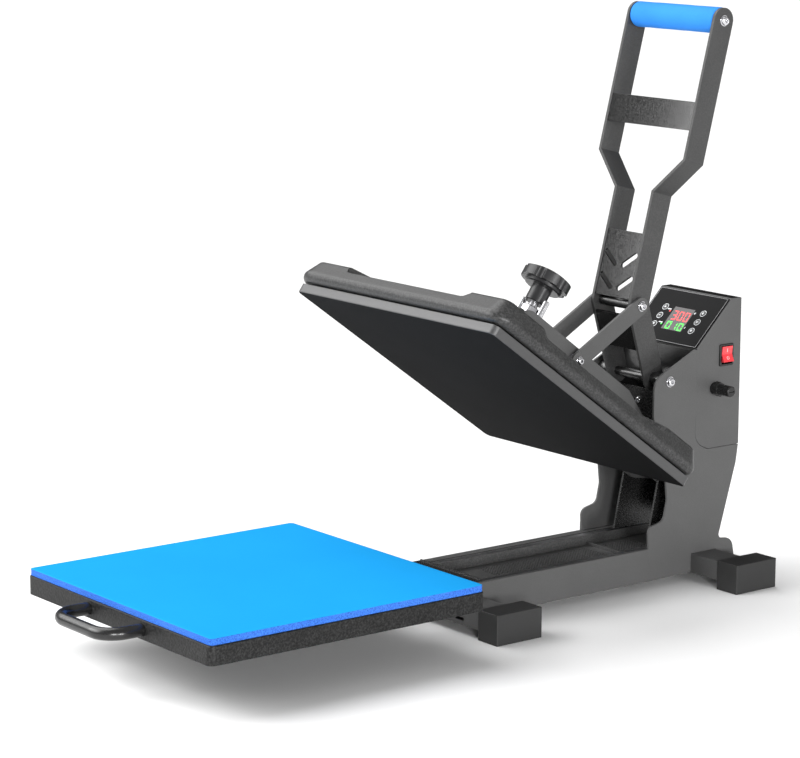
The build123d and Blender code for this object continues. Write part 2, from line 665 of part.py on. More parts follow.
# ---- knob ------------------------------------------------------------------------------------
def knob_head():
    """Rosette knob: six broad lobes with narrow grooves, crowned top, hub disc and round neck below."""
    disc = Circle(31.4)
    for k in range(6):
        disc -= Rot(0, 0, 60.0 * k) * Pos(33.2, 0) * Circle(6.2)
    head = extrude(disc, 17.0)
    head = fillet(head.edges().filter_by(Axis.Z), 1.4)
    crown = Pos(0, 0, -62.0) * Sphere(81.0)
    head = fillet((head & crown).edges().group_by(Axis.Z)[-1], 0.6)
    under = extrude(Circle(24.5), 5.0)
    under = chamfer(under.edges().group_by(Axis.Z)[0], 1.5)
    neck = extrude(Circle(13.0), 22.0)
    neck = chamfer(neck.edges().group_by(Axis.Z)[0], 1.0)
    knob = Pos(0, KNOB_Y, 147.0) * head + Pos(0, KNOB_Y, 142.1) * under + Pos(0, KNOB_Y, 121.2) * neck
    return PLATEN * (knob - rod_z(0, KNOB_Y, SHAFT_R + 0.02, 110, 150))


def spindle():
    rod = rod_z(0, KNOB_Y, SHAFT_R, 41.0, 149.5)
    return PLATEN * chamfer(rod.edges().group_by(Axis.Z)[0], 1.0)


# ---- handle, upper part in the handle frame ----------------------------------------------------
BEND_LOW, BEND_HIGH = 142.6, 186.7


def handle_bar():
    """Flat bar bent outwards below the brace, with a leg down to the handle shaft."""
    t = TOP_OUT - TOP_IN
    kink = t * math.tan(math.radians(22.5))
    outer = [(BAR_OUT, -BAR_R), (BAR_OUT, BEND_LOW), (TOP_OUT, BEND_HIGH), (TOP_OUT, GRIP_Z + BAR_R + 5)]
    inner = [(TOP_IN, GRIP_Z + BAR_R + 5), (TOP_IN, BEND_HIGH + kink), (BAR_IN, BEND_LOW + kink),
             (BAR_IN, -BAR_R)]
    strip = make_face(Polyline(*(outer + inner), close=True))
    strip = extrude(Plane(origin=(0, 0, 0), x_dir=(1, 0, 0), z_dir=(0, -1, 0)) * strip, BAR_R, both=True)
    silhouette = plate_x(bar_outline((0, 0), (0, GRIP_Z), BAR_R), 0, 100)
    bar = HANDLE * (strip & silhouette)
    bar += plate_x(bar_outline(S_PIV, A_PIV, BAR_R), BAR_IN, BAR_OUT)
    bar -= rod_x(S_PIV[0], S_PIV[1], SHAFT_R + FIT, 20, 50)
    bar -= rod_x(A_PIV[0], A_PIV[1], PIN_R + FIT, 20, 50)
    grip = HANDLE * rod_x(0, GRIP_Z, PIN_R + FIT, 60, 90)
    return bar - grip


def upper_brace():
    z = 242.5
    return HANDLE * block(-TOP_IN + 0.05, TOP_IN - 0.05, -15.0, -12.0, z - 18, z + 18)


def chevron_plate():
    """Plate between the bars above the link rod, with two pairs of slanted slots."""
    plate = block(-BAR_IN + 0.05, BAR_IN - 0.05, -15.0, -12.0, 5.0, 89.5)
    across = Plane(origin=(0, 0, 0), x_dir=(1, 0, 0), z_dir=(0, -1, 0))
    for z in (23.6, 53.4):
        for side in (-1, 1):
            slot = Pos(side * 17.4, z) * Rot(0, 0, side * 35.8) * SlotCenterToCenter(23.6, 7.2)
            plate -= extrude(across * slot, 30, both=True)
    return HANDLE * plate


def leg_frame():
    """Frame at the link pivot, +Z pointing down the leg to the handle shaft."""
    dy, dz = S_PIV[0] - A_PIV[0], S_PIV[1] - A_PIV[1]
    return Pos(0, A_PIV[0], A_PIV[1]) * Rot(math.degrees(math.atan2(-dy, dz)), 0, 0)


def lower_web():
    """Web between the legs, below the link rod."""
    return leg_frame() * block(-BAR_IN + 0.05, BAR_IN - 0.05, 12.0, 15.0, 9.0, 56.0)


def grip_core():
    tube = rod_x(0, GRIP_Z, 9.0, -TOP_IN + 0.05, TOP_IN - 0.05)
    return HANDLE * (tube - rod_x(0, GRIP_Z, PIN_R + FIT, -80, 80))


def foam_grip():
    foam = rod_x(0, GRIP_Z, GRIP_R, -TOP_IN + 0.4, TOP_IN - 0.4)
    foam = fillet(foam.edges().filter_by(GeomType.CIRCLE), 2.0)
    return HANDLE * (foam - rod_x(0, GRIP_Z, 9.0, -80, 80))


def grip_bolt():
    bolt = Pos(TOP_OUT + 0.05, 0, GRIP_Z) * screw(5.8, 3.8, PIN_R, 30.0, 6.8, 1.2)
    return HANDLE * bolt


def link_rod():
    rod = rod_x(A_PIV[0], A_PIV[1], 7.0, -BAR_IN + 0.05, BAR_IN - 0.05)
    for side in (-1, 1):
        span = sorted((side * 8.0, side * 40.0))
        rod -= rod_x(A_PIV[0], A_PIV[1], PIN_R + FIT, span[0], span[1])
    return rod


def link_rod_bolt():
    """Bolt of the upper link pivot, with a washer on each side of the link."""
    bolt = Pos(LINK_OUT + GAP, A_PIV[0], A_PIV[1]) * screw(5.6, 3.8, PIN_R, 32.0, 6.5, 1.2)
    return bolt + rod_x(A_PIV[0], A_PIV[1], 8.2, BAR_OUT + 0.02, LINK_IN - GAP)


# ---- links -----------------------------------------------------------------------------------
LINK_R = 11.0


def link():
    plate = plate_x(bar_outline(A_PIV, F_PIV, LINK_R), LINK_IN, LINK_OUT)
    plate -= rod_x(A_PIV[0], A_PIV[1], PIN_R + FIT, 30, 50)
    return plate - rod_x(F_PIV[0], F_PIV[1], PIN_R + FIT, 30, 50)


def link_foot_bolt():
    """Bolt and stacked spacers of the lower link pivot."""
    bolt = Pos(LINK_OUT + 0.05, F_PIV[0], F_PIV[1]) * screw(5.0, 3.6, PIN_R, 10.0, 5.6, 1.2)
    stack = rod_x(F_PIV[0], F_PIV[1], 8.4, ARM_OUT + GAP, 32.4)
    stack += rod_x(F_PIV[0], F_PIV[1], 7.0, 32.3, 34.7)
    stack += rod_x(F_PIV[0], F_PIV[1], 8.4, 34.6, LINK_IN - 0.05)
    return bolt + stack


# ---- gas spring ---------------------------------------------------------------------------------
SPRING_X = -16.5


def spring_frame():
    """Frame at the upper gas spring pin, +Z pointing down to the arm's tail."""
    dy, dz = T_PIV[0] - U_PIV[0], T_PIV[1] - U_PIV[1]
    return Pos(SPRING_X, U_PIV[0], U_PIV[1]) * Rot(math.degrees(math.atan2(-dy, dz)), 0, 0)


SPRING_LEN = math.dist(U_PIV, T_PIV)


def gas_cylinder():
    tube = rod_z(0, 0, 8.0, 14.0, 84.0) - rod_z(0, 0, 4.05, 40.0, 90.0)
    tube += rod_x(0, 0, 7.0, -4.0, 4.0) + rod_z(0, 0, 4.0, 4.0, 16.0)
    return spring_frame() * (tube - rod_x(0, 0, PIN_R + FIT, -10, 10))


def gas_rod():
    rod = rod_z(0, 0, 4.0, 70.0, SPRING_LEN - 8.0) + rod_x(0, SPRING_LEN, 9.6, -4.0, 4.0)
    return spring_frame() * (rod - rod_x(0, SPRING_LEN, PIN_R + 2.2, -10, 10))


def spring_mount():
    """Upper gas spring pin with the two ears that hang from the box's rear sheet."""
    y, z = U_PIV
    ears = [block(SPRING_X + x0, SPRING_X + x0 + 2.5, y - 8, 476.8, z - 9, z + 9) for x0 in (-7.0, 4.5)]
    mount = ears[0] + ears[1] + block(SPRING_X - 7, SPRING_X + 7, 474.6, 476.8, z - 16, z + 16)
    return mount + rod_x(y, z, PIN_R, SPRING_X - 8, SPRING_X + 8)


# ---- write every part ----------------------------------------------------------------------------
FEET = [foot_cap(side, y_bar) for side in (1, -1) for y_bar in (FRONT_BAR_Y, REAR_BAR_Y)]
save("crossbars", group([front_crossbar(), crossbar(REAR_BAR_Y)]))
save("foot_caps", group(FEET))
for name, maker in (("stand_plate", stand_plate), ("arm_plate", arm_plate), ("handle_bar", handle_bar)):
    right, left = both(maker())
    save(name + "_right", right)
    save(name + "_left", left)
for name, maker in (("base_rails", rail), ("slide_outers", slide_outer), ("slide_middles", slide_middle),
                    ("slide_inners", slide_inner), ("link_plates", link)):
    save(name, group(both(maker())))
save("floor_tray", floor_tray())
save("stand_rear_web", stand_rear_web())
save("stand_front_web", front_web())
save("pivot_bracket", pivot_bracket())
save("magnet_plate", magnet_plate())
save("electromagnet", electromagnet())

save("control_box_shell", control_box())
save("panel_fascia", fascia())
save("display_window", display_window())
save("indicator_lamps", group([indicator(36.6), indicator(57.8)]))
number = 0
for x in (DISPLAY_X - COLUMN_X, DISPLAY_X + COLUMN_X):
    for s in BUTTON_S:
        number += 1
        save("button_" + str(number), button(x, s))
transformer = block(-56.0, -30.0, 412.0, 452.0, 212.0, 246.0)
relay_board = block(56.0, 57.6, 412.0, 470.0, 190.0, 236.0)
save("control_electronics", group([display_board(), relay_board, transformer]))
save("switch_bezel", switch_bezel())
save("switch_rocker", rocker())
save("fuse_holder", group([fuse_holder(), fuse_cap()]))
save("power_inlet", power_inlet())

save("pivot_shafts", group([handle_shaft(), arm_shaft()] + both(shaft_spacer())))
stand_bolt = Pos(STAND_OUT + 0.05, S_PIV[0], S_PIV[1]) * screw(5.8, 3.8, PIN_R, 20.0, 6.8, 1.2)
plate_screw = Pos(0, 363.75, 231.5) * Rot(0, 0, -90) * screw(4.2, 2.6, 2.0, 6.0)
save("stand_bolts", group(both(stand_bolt) + [plate_screw]))

save("rubber_pad", rubber_pad())
save("lower_platen", lower_platen())
save("drawer_handle", d_handle())
save("drawer_runners", group(both(runner()) + [rear_tie()]))

save("heating_plate", heating_plate())
save("heating_element", heating_element())
save("insulation_sheet", insulation())
save("platen_back_plate", group([back_plate(), centre_boss(), temperature_probe()]))
save("platen_cover", cover())
save("guide_studs", group([guide_stud(-STUD_X), guide_stud(STUD_X)]))
save("cable_gland", cable_gland())

save("arm_bridge", arm_bridge())
save("arm_nuts", group([spindle_nut()] + both(pivot_nut())))
save("arm_armature", group([armature(), tail_pin()]))

save("pressure_knob", knob_head())
save("pressure_spindle", spindle())

save("handle_braces", group([upper_brace(), chevron_plate(), lower_web()]))
save("handle_cross_rods", group([grip_core(), link_rod()]))
save("foam_grip", foam_grip())
save("handle_bolts", group(both(grip_bolt()) + both(link_rod_bolt())))
save("link_foot_bolts", group(both(link_foot_bolt())))

save("gas_cylinder", gas_cylinder())
save("gas_rod", gas_rod())
save("spring_mount", spring_mount())
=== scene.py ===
import bpy
import bmesh
import math
import random
from mathutils import Matrix, Vector


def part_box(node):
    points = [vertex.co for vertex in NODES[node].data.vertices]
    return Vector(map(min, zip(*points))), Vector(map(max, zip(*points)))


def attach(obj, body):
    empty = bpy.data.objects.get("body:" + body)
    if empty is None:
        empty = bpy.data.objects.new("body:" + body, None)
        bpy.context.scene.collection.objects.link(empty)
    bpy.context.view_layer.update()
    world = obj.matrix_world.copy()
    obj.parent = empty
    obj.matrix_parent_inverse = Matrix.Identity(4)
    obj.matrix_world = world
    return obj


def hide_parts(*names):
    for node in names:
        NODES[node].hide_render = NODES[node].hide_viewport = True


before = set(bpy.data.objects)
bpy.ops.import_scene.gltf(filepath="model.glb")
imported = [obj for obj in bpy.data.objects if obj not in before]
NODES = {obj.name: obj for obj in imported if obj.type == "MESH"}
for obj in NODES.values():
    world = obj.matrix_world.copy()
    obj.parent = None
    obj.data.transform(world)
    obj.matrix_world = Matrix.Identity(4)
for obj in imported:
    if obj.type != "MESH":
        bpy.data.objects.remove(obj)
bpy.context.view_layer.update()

# ---- the machine's main measures, metres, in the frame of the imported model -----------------
OPEN_ANGLE = math.radians(35.73)      # tilt of the open upper platen
LEAN = math.radians(14.54)            # lean of the handle
A_PIVOT = Vector((0, 0.3288, 0.3613))
PANEL_TOP = Vector((0, 0.4617, 0.3619))
PANEL_LOW = Vector((0, 0.4005, 0.3010))
LAMP_SPLIT_Z = 0.3288                 # height between the two indicator lamps

HANDLE = Matrix.Translation(A_PIVOT) @ Matrix.Rotation(-LEAN, 4, "X")
PANEL_TILT = math.atan2(PANEL_TOP.z - PANEL_LOW.z, PANEL_TOP.y - PANEL_LOW.y)
PANEL = Matrix.Translation(PANEL_TOP) @ Matrix.Rotation(PANEL_TILT, 4, "X")


# ---- shader helpers --------------------------------------------------------------------------
class Shader:
    """One material and short calls that add nodes to it."""

    def __init__(self, name):
        self.mat = bpy.data.materials.new(name)
        self.mat.use_nodes = True
        self.tree = self.mat.node_tree
        self.bsdf = self.tree.nodes["Principled BSDF"]
        self.coords = self.add("ShaderNodeTexCoord").outputs["Object"]

    def add(self, kind, **values):
        node = self.tree.nodes.new(kind)
        for key, value in values.items():
            setattr(node, key, value)
        return node

    def link(self, a, b):
        self.tree.links.new(a, b)

    def noise(self, scale, detail=4.0, rough=0.55, stretch=None, distortion=0.0):
        node = self.add("ShaderNodeTexNoise")
        node.inputs["Scale"].default_value = scale
        node.inputs["Detail"].default_value = detail
        node.inputs["Roughness"].default_value = rough
        node.inputs["Distortion"].default_value = distortion
        source = self.coords
        if stretch:
            mapping = self.add("ShaderNodeMapping")
            mapping.inputs["Scale"].default_value = stretch
            self.link(source, mapping.inputs["Vector"])
            source = mapping.outputs["Vector"]
        self.link(source, node.inputs["Vector"])
        return node.outputs["Fac"]

    def cells(self, scale, feature="F1", smooth=0.0):
        node = self.add("ShaderNodeTexVoronoi", feature=feature)
        node.inputs["Scale"].default_value = scale
        if feature == "SMOOTH_F1":
            node.inputs["Smoothness"].default_value = smooth
        self.link(self.coords, node.inputs["Vector"])
        return node.outputs["Distance"]

    def ramp(self, source, stops):
        """Colour ramp from (position, colour or grey) stops."""
        node = self.add("ShaderNodeValToRGB")
        elements = node.color_ramp.elements
        while len(elements) < len(stops):
            elements.new(0.5)
        for element, (position, colour) in zip(elements, stops):
            element.position = position
            if not hasattr(colour, "__len__"):
                colour = (colour, colour, colour)
            element.color = (*colour, 1.0)
        self.link(source, node.inputs["Fac"])
        return node.outputs["Color"]

    def span(self, source, low, high, to_low, to_high, smooth=False):
        node = self.add("ShaderNodeMapRange")
        if smooth:
            node.interpolation_type = "SMOOTHSTEP"
        node.inputs["From Min"].default_value = low
        node.inputs["From Max"].default_value = high
        node.inputs["To Min"].default_value = to_low
        node.inputs["To Max"].default_value = to_high
        self.link(source, node.inputs["Value"])
        return node.outputs["Result"]

    def math(self, operation, a, b=None):
        node = self.add("ShaderNodeMath", operation=operation)
        for socket, value in zip(node.inputs, (a, b)):
            if value is None:
                continue
            if isinstance(value, (int, float)):
                socket.default_value = value
            else:
                self.link(value, socket)
        return node.outputs[0]

    def mix(self, factor, a, b, blend="MIX"):
        node = self.add("ShaderNodeMix", data_type="RGBA", blend_type=blend)
        for key, value in (("Factor", factor), ("A", a), ("B", b)):
            index = {"Factor": 0, "A": 6, "B": 7}[key]
            socket = node.inputs[index]
            if isinstance(value, (int, float)):
                socket.default_value = value if key == "Factor" else (value, value, value, 1)
            elif isinstance(value, tuple):
                socket.default_value = (*value, 1)
            else:
                self.link(value, socket)
        return node.outputs[2]

    def bump(self, height, strength, distance, under=None):
        node = self.add("ShaderNodeBump")
        node.inputs["Strength"].default_value = strength
        node.inputs["Distance"].default_value = distance
        self.link(height, node.inputs["Height"])
        if under is not None:
            self.link(under, node.inputs["Normal"])
        return node.outputs["Normal"]

    def soft_edge(self, radius):
        node = self.add("ShaderNodeBevel", samples=6)
        node.inputs["Radius"].default_value = radius
        return node.outputs["Normal"]

    def facing(self, direction):
        """How far the surface faces the direction given: 1 straight at it, 0 at right angles, -1 away."""
        normal = self.add("ShaderNodeTexCoord").outputs["Normal"]
        node = self.add("ShaderNodeVectorMath", operation="DOT_PRODUCT")
        self.link(normal, node.inputs[0])
        node.inputs[1].default_value = direction
        return node.outputs["Value"]

    def set(self, **values):
        for key, value in values.items():
            socket = self.bsdf.inputs[key.replace("_", " ")]
            if isinstance(value, bpy.types.NodeSocket):
                self.link(value, socket)
            elif isinstance(value, tuple):
                socket.default_value = (*value, 1) if len(value) == 3 and socket.type == "RGBA" else value
            else:
                socket.default_value = value
        return self.mat


def powder_coat(name, dark, light, rough, grain=900.0, depth=0.00012, shine=0.3, glitter=0.5,
                glossy_painted_shade_top=False):
    """Textured black powder coat: sandy grain that glitters, faint mottling, eased edges.

    With the top flag set, the surfaces that look upward are smooth, and painted near-black as shade.
    """
    s = Shader(name)
    mottle = s.noise(18.0, 5.0, 0.6)
    speck = s.noise(grain, 2.0, 0.7)
    base = s.ramp(mottle, [(0.30, dark), (0.75, light)])
    grit = s.ramp(speck, [(0.42, 1.0 - 0.3 * glitter), (0.66, 1.0 + 0.6 * glitter)])
    colour = s.mix(1.0, base, grit, "MULTIPLY")
    roughness = s.span(speck, 0.3, 0.7, rough - 0.07, rough + 0.08)
    if glossy_painted_shade_top:
        upward = s.span(s.facing((0.0, 0.0, 1.0)), 0.55, 0.65, 0.0, 1.0)
        # painted shade: the upward-facing surfaces are darkened to near-black; they are also made smoother
        colour = s.mix(upward, colour, (0.005, 0.005, 0.005))
        roughness = s.mix(upward, roughness, 0.22)
    normal = s.bump(speck, glitter, depth, s.bump(s.noise(grain * 0.28, 2.0), 0.3, depth, s.soft_edge(0.0003)))
    s.bsdf.inputs["Specular IOR Level"].default_value = shine
    return s.set(Base_Color=colour, Roughness=roughness, Normal=normal)


def metal(name, dark, light, rough, stretch=(1.0, 1.0, 1.0), depth=0.00003, metallic=1.0):
    """Metal with fine machining streaks and slightly uneven sheen."""
    s = Shader(name)
    streak = s.noise(900.0, 3.0, 0.6, stretch)
    cloud = s.noise(25.0, 4.0)
    colour = s.mix(s.span(cloud, 0.3, 0.7, 0.0, 1.0), dark, light)
    fine = s.span(streak, 0.3, 0.7, rough - 0.06, rough + 0.08)
    roughness = s.math("ADD", fine, s.span(cloud, 0.3, 0.7, 0, 0.05))
    normal = s.bump(streak, 0.25, depth, s.soft_edge(0.0004))
    return s.set(Base_Color=colour, Roughness=roughness, Metallic=metallic, Normal=normal)


def moulded(name, dark, light, rough, grain=1500.0, strength=0.15, coat=0.0, edge=0.0005, shine=0.5):
    """Moulded plastic with a fine spark-eroded grain and faint flow marks."""
    s = Shader(name)
    grainy = s.noise(grain, 2.0, 0.6)
    flow = s.noise(12.0, 3.0, 0.5, (1.0, 0.4, 1.6))
    colour = s.mix(s.span(flow, 0.3, 0.7, 0.0, 1.0), dark, light)
    roughness = s.span(flow, 0.25, 0.75, rough - 0.05, rough + 0.06)
    normal = s.bump(grainy, strength, 0.00006, s.soft_edge(edge))
    mat = s.set(Base_Color=colour, Roughness=roughness, Normal=normal)
    s.bsdf.inputs["Specular IOR Level"].default_value = shine
    s.bsdf.inputs["Coat Weight"].default_value = coat
    s.bsdf.inputs["Coat Roughness"].default_value = 0.08
    return mat


def heated_plate():
    """Machined aluminium rim with a dark baked coating on the working face."""
    s = Shader("heating_plate_aluminium")
    down = s.facing((0.0, -math.sin(OPEN_ANGLE), -math.cos(OPEN_ANGLE)))
    under = s.span(down, 0.80, 0.95, 0.0, 1.0)
    streak = s.noise(700.0, 3.0, 0.65, (0.03, 0.03, 1.0))
    pores = s.noise(1300.0, 2.0, 0.6)
    rim = s.ramp(streak, [(0.3, (0.026, 0.026, 0.027)), (0.7, (0.038, 0.038, 0.039))])
    cloud = s.noise(9.0, 4.0, 0.6)
    face = s.ramp(cloud, [(0.3, (0.0060, 0.0060, 0.0062)), (0.75, (0.0085, 0.0085, 0.0088))])
    roughness = s.mix(under, s.span(streak, 0.3, 0.7, 0.38, 0.5), s.span(pores, 0.3, 0.7, 0.76, 0.88))
    normal = s.bump(pores, 0.25, 0.00005, s.soft_edge(0.0006))
    return s.set(
        Base_Color=s.mix(under, rim, face),
        Roughness=roughness,
        Normal=normal,
        Specular_IOR_Level=s.span(under, 0.0, 1.0, 1.0, 0.05),
        Metallic=s.span(under, 0.0, 1.0, 0.15, 0.0))


def sponge(name, deep, bright, cell=650.0, depth=0.00025, grit=(0.86, 1.12), shine=0.08):
    """Closed-cell rubber: fine pores with paler skin between them."""
    s = Shader(name)
    pores = s.cells(cell, "SMOOTH_F1", 0.35)
    fine = s.noise(cell * 2.1, 3.0, 0.6)
    cloud = s.noise(7.0, 4.0)
    mixed = s.mix(s.span(cloud, 0.3, 0.7, 0.0, 1.0), deep, bright)
    colour = s.mix(1.0, mixed, s.ramp(fine, [(0.35, grit[0]), (0.7, grit[1])]), "MULTIPLY")
    normal = s.bump(fine, 0.35, depth * 0.6, s.bump(pores, 0.5, depth))
    s.bsdf.inputs["Specular IOR Level"].default_value = shine
    return s.set(Base_Color=colour, Roughness=s.span(fine, 0.3, 0.7, 0.62, 0.82), Normal=normal)


def glowing(name, colour, strength):
    """Glowing display segments, and print given a painted glow; both a little uneven."""
    s = Shader(name)
    flicker = s.noise(300.0, 2.0)
    s.bsdf.inputs["Emission Strength"].default_value = strength
    shade = s.mix(s.span(flicker, 0.3, 0.7, 0.0, 1.0), tuple(0.9 * c for c in colour), colour)
    return s.set(Base_Color=shade, Emission_Color=shade, Roughness=0.3)


def lamp_pair():
    """Red upper lamp and green lower lamp, told apart by their height on the panel."""
    s = Shader("indicator_lamp")
    split = s.add("ShaderNodeSeparateXYZ")
    s.link(s.coords, split.inputs[0])
    upper = s.math("GREATER_THAN", split.outputs["Z"], LAMP_SPLIT_Z)
    tone = s.mix(upper, (0.03, 0.62, 0.06), (0.80, 0.03, 0.02))
    shade = s.mix(1.0, tone, s.ramp(s.noise(300.0, 2.0), [(0.3, 0.9), (0.7, 1.0)]), "MULTIPLY")
    s.bsdf.inputs["Emission Strength"].default_value = 0.5
    return s.set(Base_Color=shade, Emission_Color=shade, Roughness=0.3)


def circuit():
    """Green lacquered board with copper tracks under the lacquer."""
    s = Shader("circuit_board")
    tracks = s.cells(260.0, "DISTANCE_TO_EDGE")
    green = s.mix(s.noise(40.0), (0.01, 0.07, 0.03), (0.02, 0.12, 0.05))
    line = s.span(tracks, 0.02, 0.05, 1.0, 0.0)
    return s.set(Base_Color=s.mix(line, green, (0.05, 0.20, 0.06)), Roughness=0.35)


def fibre_board():
    """Dark ceramic-fibre board with strands along it."""
    s = Shader("ceramic_fibre")
    strand = s.noise(500.0, 6.0, 0.7, (1.0, 0.2, 1.0))
    colour = s.ramp(strand, [(0.3, (0.006, 0.006, 0.006)), (0.7, (0.016, 0.015, 0.015))])
    return s.set(Base_Color=colour, Roughness=0.95, Normal=s.bump(strand, 0.6, 0.0004))


def smoked_window():
    """Dark tinted display window."""
    s = Shader("display_window")
    haze = s.noise(30.0, 3.0)
    colour = s.mix(haze, (0.012, 0.008, 0.009), (0.022, 0.014, 0.015))
    return s.set(Base_Color=colour, Roughness=s.span(haze, 0.3, 0.7, 0.10, 0.18))


MATERIALS = {
    "powder": powder_coat("powder_coat_black", 0.063, 0.071, 0.52, shine=0.4, glitter=0.25),
    # the control box's coat, its upward faces painted near-black as shade
    "box": powder_coat("powder_coat_box", 0.063, 0.071, 0.52, shine=0.4, glitter=0.25, glossy_painted_shade_top=True),
    # painted shade: a much darker, glossier copy of the black powder coat for the parts between and behind the
    # plates
    "inner": powder_coat("powder_coat_inner", 0.010, 0.016, 0.26, 450.0, 0.00016, 0.6, 0.9),
    "bars": powder_coat("powder_coat_handle", 0.034, 0.043, 0.42, 600.0, shine=0.45, glitter=0.6),
    # painted shade: a near-black, glossier copy of the handle's coat for the brace
    "brace": powder_coat("powder_coat_brace", 0.003, 0.005, 0.11, 520.0, 0.00003, 0.65, 0.9),
    "skirt": powder_coat("powder_coat_skirt", 0.009, 0.016, 0.50, 380.0, 0.00025, 0.22, 2.2),
    "tray": powder_coat("powder_coat_tray", 0.050, 0.065, 0.40, 500.0, 0.0002, 0.5, 0.9),
    "cover": powder_coat("cover_satin_black", 0.026, 0.033, 0.38, 420.0, 0.00016, 0.4, 1.3),
    "foot": moulded("foot_cap_plastic", (0.020, 0.020, 0.020), (0.026, 0.026, 0.026), 0.42, shine=0.3),
    "knob": moulded("knob_plastic", (0.010, 0.010, 0.011), (0.016, 0.016, 0.017), 0.30),
    "gloss": moulded("gloss_black_plastic", (0.007, 0.007, 0.007), (0.011, 0.011, 0.011), 0.26),
    "panel": moulded(
        "panel_film", (0.004, 0.004, 0.0045), (0.006, 0.006, 0.0065), 0.55, 2500.0, 0.05, shine=0.08),
    "web": moulded("stand_front_gloss", (0.012, 0.012, 0.012), (0.020, 0.020, 0.020), 0.18, 1200.0, 0.25),
    "chrome": metal("bright_plating", (0.62, 0.62, 0.64), (0.80, 0.80, 0.82), 0.12),
    "zinc": metal("zinc_plating", (0.30, 0.30, 0.31), (0.45, 0.45, 0.46), 0.30, (1.0, 0.1, 1.0)),
    "rod": metal("blackened_rod", (0.10, 0.10, 0.10), (0.16, 0.16, 0.16), 0.24, (0.05, 1.0, 1.0)),
    "plate": heated_plate(),
    "rubber": sponge(
        "silicone_pad_skin", (0.0095, 0.290, 0.68), (0.0105, 0.305, 0.72), 900.0, 0.00004, (0.97, 1.03), 0.03),
    # the pad's sides: coarser open pores, and a darker blue painted as shade
    "rubber_cut_and_shade": sponge(
        "silicone_pad_cut_edge", (0.030, 0.125, 0.52), (0.045, 0.165, 0.62), 420.0, 0.0006, (0.5, 1.5)),
    "foam": sponge("grip_foam_blue", (0.034, 0.240, 0.78), (0.042, 0.280, 0.86), 700.0, 0.00025),
    "circuit": circuit(),
    "fibre": fibre_board(),
    "window": smoked_window(),
    "lamp": lamp_pair(),
    "digits_red": glowing("digits_red", (0.80, 0.035, 0.04), 0.55),
    "digits_green": glowing("digits_green", (0.04, 0.62, 0.04), 0.85),
    # painted glow on the printed legends, button symbols and fascia border line
    "marks": glowing("panel_marks", (0.55, 0.57, 0.58), 0.35),
    "border": glowing("panel_border", (0.25, 0.25, 0.255), 0.10),
    "rocker_ink": moulded("rocker_ink", (0.70, 0.50, 0.50), (0.80, 0.60, 0.60), 0.3),
    "button": moulded("button_plastic", (0.014, 0.014, 0.014), (0.022, 0.022, 0.022), 0.35),
    "rocker": moulded("rocker_red", (0.62, 0.030, 0.040), (0.75, 0.045, 0.055), 0.16, coat=0.4),
}

FINISH = {
    "powder": """crossbars base_rails stand_plate_right stand_plate_left arm_plate_right arm_plate_left
        link_plates""",
    "box": "control_box_shell",
    "tray": "floor_tray",
    # the parts between and behind the plates take the darker coat, as painted shade
    "inner": "stand_rear_web pivot_bracket magnet_plate spring_mount drawer_runners arm_bridge",
    "bars": "handle_bar_right handle_bar_left",
    "brace": "handle_braces",
    "skirt": "lower_platen",
    "cover": "platen_cover",
    "foot": "foot_caps",
    "knob": "pressure_knob",
    "gloss": "drawer_handle switch_bezel fuse_holder power_inlet cable_gland gas_cylinder",
    "panel": "panel_fascia",
    "web": "stand_front_web",
    "chrome": "stand_bolts arm_nuts guide_studs handle_bolts link_foot_bolts gas_rod",
    "zinc": """slide_outers slide_middles slide_inners electromagnet pressure_spindle heating_element
        platen_back_plate""",
    "rod": "pivot_shafts arm_armature handle_cross_rods",
    "plate": "heating_plate",
    "rubber": "rubber_pad",
    "foam": "foam_grip",
    "circuit": "control_electronics",
    "fibre": "insulation_sheet",
    "window": "display_window",
    "lamp": "indicator_lamps",
    "button": " ".join("button_%d" % k for k in range(1, 7)),
    "rocker": "switch_rocker",
}
for key, names in FINISH.items():
    for name in names.split():
        node = NODES[name]
        node.data.materials.clear()
        node.data.materials.append(MATERIALS[key])


# ---- pieces made here --------------------------------------------------------------------------
def mesh_object(name, bm, material, body):
    """Turns the bmesh into an object that rides on the body; material is one key, or a tuple of keys."""
    mesh = bpy.data.meshes.new(name)
    bm.to_mesh(mesh)
    bm.free()
    obj = bpy.data.objects.new(name, mesh)
    bpy.context.scene.collection.objects.link(obj)
    for each in material if isinstance(material, tuple) else (material,):
        mesh.materials.append(MATERIALS[each])
    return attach(obj, body) or obj


PAD_CORNER = 0.0050           # corner radius of the pad seen from above
PAD_EASE = 0.0007             # rounding of its upper and lower edges
PAD_NAP = 0.00012             # unevenness of the sawn edge
PAD_SAG = 0.00006             # how much the middle lies below the rim
CORNER_STEPS = 6
EDGE_STEPS = 60


def pad_outline(half_x, half_y):
    """The pad's outline round its centre, anticlockwise from its rear right-hand corner."""
    signs = ((1, 1), (-1, 1), (-1, -1), (1, -1))

    def corner_point(quarter, degrees):
        sx, sy = signs[quarter % 4]
        a = math.radians(degrees)
        return Vector((sx * (half_x - PAD_CORNER) + PAD_CORNER * math.cos(a),
                       sy * (half_y - PAD_CORNER) + PAD_CORNER * math.sin(a), 0))

    loop = []
    for quarter in range(4):
        for step in range(CORNER_STEPS + 1):
            loop.append(corner_point(quarter, 90 * quarter + 90 / CORNER_STEPS * step))
        start = loop[-1]
        end = corner_point(quarter + 1, 90 * (quarter + 1))
        for step in range(1, EDGE_STEPS):
            loop.append(start.lerp(end, step / EDGE_STEPS))
    return loop


